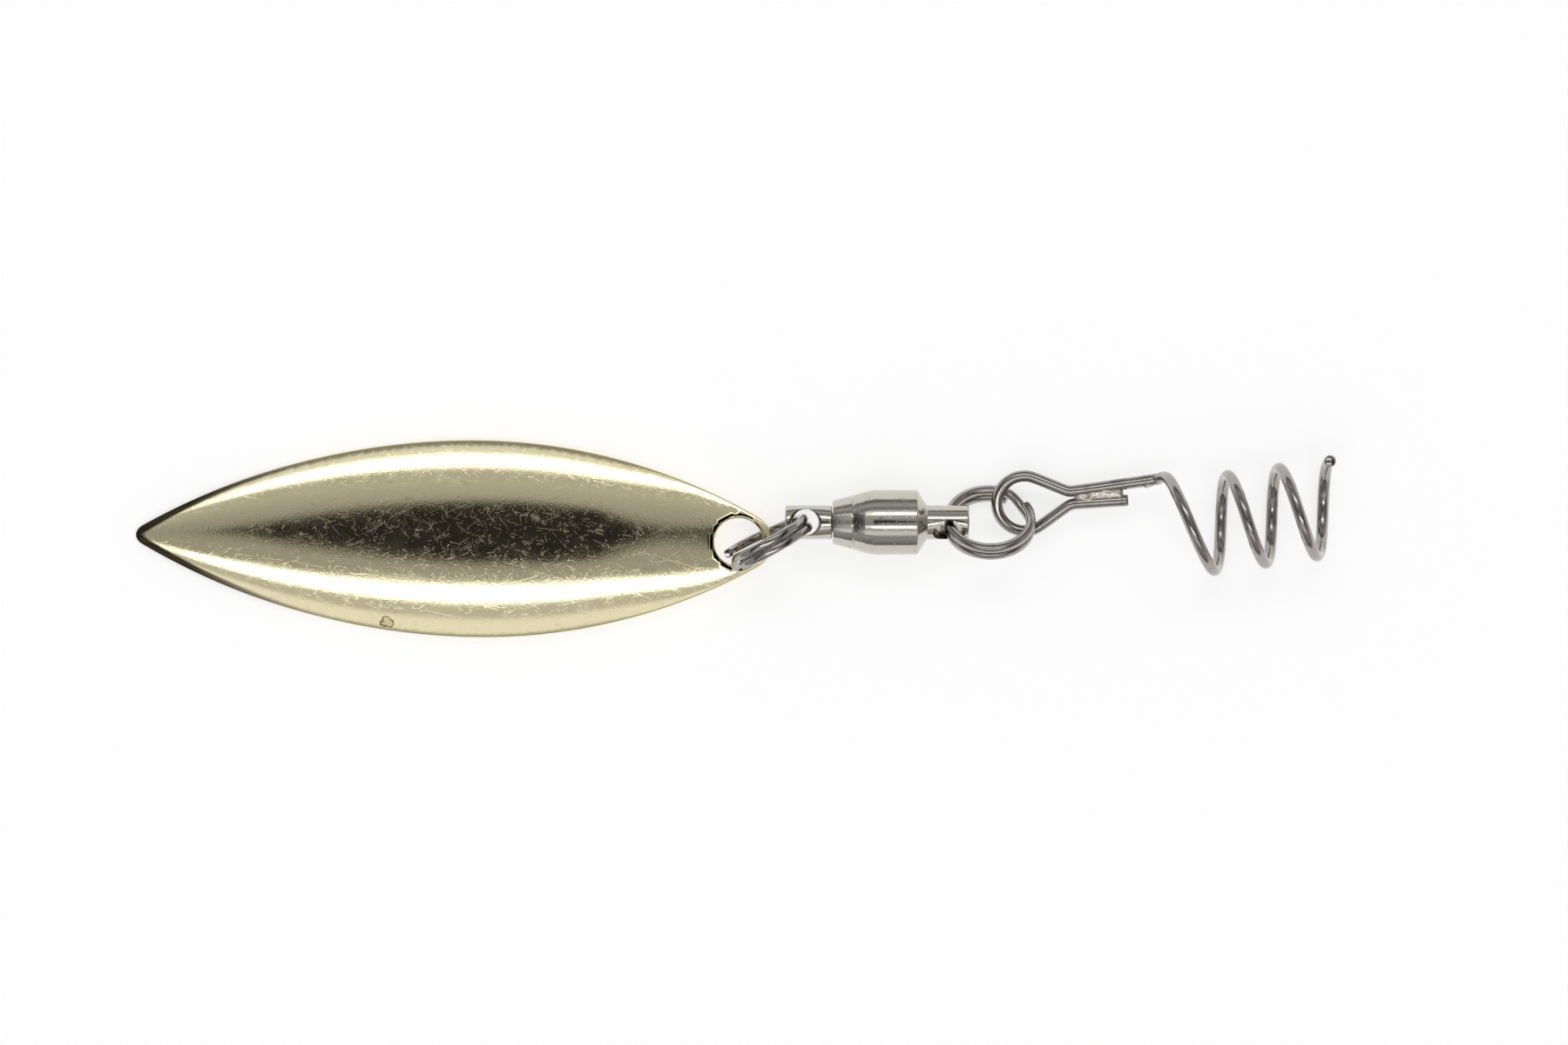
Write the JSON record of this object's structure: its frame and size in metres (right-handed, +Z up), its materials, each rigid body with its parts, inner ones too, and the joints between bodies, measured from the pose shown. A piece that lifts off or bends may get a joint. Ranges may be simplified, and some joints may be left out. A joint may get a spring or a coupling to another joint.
{
  "type": "willow-blade spinner lure",
  "caption": "Cupped willow-leaf blade on a split ring, a ball-bearing barrel swivel, a second split ring and a corkscrew wire that holds a soft bait.",
  "frame": {"origin": "centre of the bounding box's footprint, on the surface the lure lies on", "axes": "+X from the blade's tip to the corkscrew's tip, +Z up from the surface, +Y to the left of +X"},
  "size_m": [0.0922, 0.0154, 0.0084],
  "materials": {
    "gold_plate": "polished gold plate with fine scratches",
    "nickel_plate": "bright nickel plate over brass, lightly worn",
    "stainless": "drawn stainless wire, bright",
    "ball_steel": "polished bearing steel",
    "solder": "rough dull tin solder"
  },
  "bodies": {
    "barrel": {"swivel_body": "nickel_plate", "end_cap": "nickel_plate"},
    "eye": {"rotating_eye": "nickel_plate", "shaft_collar": "ball_steel"},
    "balls": {"bearing_ball_1": "ball_steel", "bearing_ball_2": "ball_steel", "bearing_ball_3": "ball_steel", "bearing_ball_4": "ball_steel", "bearing_ball_5": "ball_steel", "bearing_ball_6": "ball_steel", "bearing_ball_7": "ball_steel", "bearing_ball_8": "ball_steel"},
    "front_ring": {"blade_split_ring": "stainless"},
    "leaf": {"blade": "gold_plate"},
    "rear_ring": {"screw_split_ring": "stainless"},
    "screw": {"corkscrew_wire": "stainless", "solder_joint": "solder"}
  },
  "joints": [
    {"name": "eye_spin", "type": "hinge", "parent": "barrel", "child": "eye", "pos_m": [0.00918, 0.00127, 0.00318], "axis": [1, 0, 0], "continuous": true},
    {"name": "ball_orbit", "type": "hinge", "parent": "barrel", "child": "balls", "pos_m": [0.00918, 0.00127, 0.00318], "axis": [1, 0, 0], "continuous": true},
    {"name": "blade_ring_swing", "type": "hinge", "parent": "eye", "child": "front_ring", "pos_m": [0.00554, 0.00127, 0.00318], "axis": [0, 0, 1], "range_deg": [-100, 100]},
    {"name": "blade_slide_round_ring", "type": "hinge", "parent": "front_ring", "child": "leaf", "pos_m": [0.00282, -0.00028, 0.00355], "axis": [0.483, -0.8713, -0.0872], "range_deg": [-90, 30]},
    {"name": "screw_ring_swing", "type": "hinge", "parent": "barrel", "child": "rear_ring", "pos_m": [0.01653, 0.00127, 0.00318], "axis": [0, -0.7071, 0.7071], "range_deg": [-100, 100]},
    {"name": "screw_slide_round_ring", "type": "hinge", "parent": "rear_ring", "child": "screw", "pos_m": [0.01968, 0.00127, 0.00318], "axis": [0, -0.7071, -0.7071], "range_deg": [-50, 90]}
  ],
  "couplings": [
    {"joint": "ball_orbit", "follows": "eye_spin", "ratio": 0.5}
  ]
}
